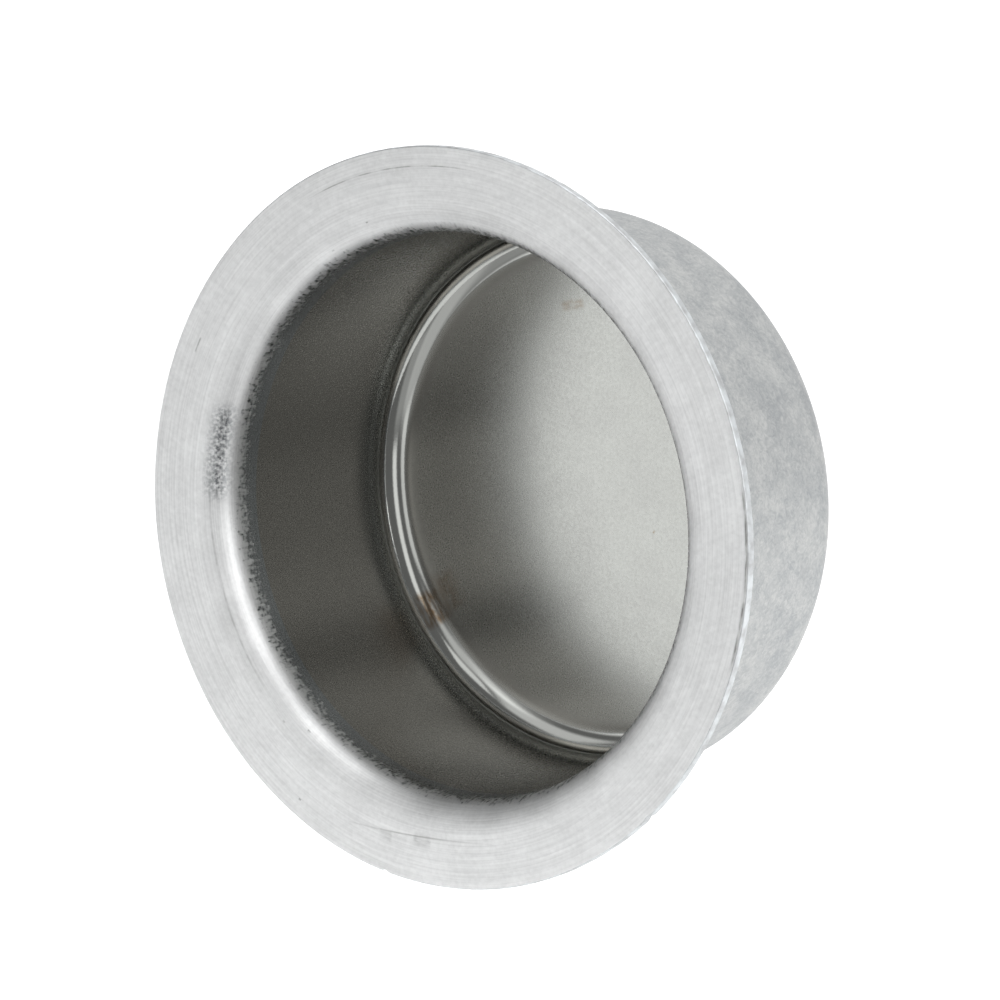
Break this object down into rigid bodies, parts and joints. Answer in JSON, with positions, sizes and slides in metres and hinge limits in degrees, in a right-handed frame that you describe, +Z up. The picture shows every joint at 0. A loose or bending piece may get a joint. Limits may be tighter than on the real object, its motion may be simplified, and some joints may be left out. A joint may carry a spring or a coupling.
{
  "type": "recessed pull handle",
  "caption": "Round flush pull: a drawn metal cup with a flat rim, set into a drilled hole so that fingertips can slide a door or drawer.",
  "frame": {"origin": "centre of the rim's back face, in the plane of the door's surface", "axes": "+Y along the cup's axis into the door, so the mouth opens towards -Y; +Z up"},
  "size_m": [0.044, 0.017, 0.044],
  "materials": {
    "satin_aluminium": "bare sheet, drawn: rim and lip rubbed matt, fine grain inside, scuffed matt wall outside"
  },
  "bodies": {
    "root": {"flush_cup": "satin_aluminium"}
  },
  "joints": []
}
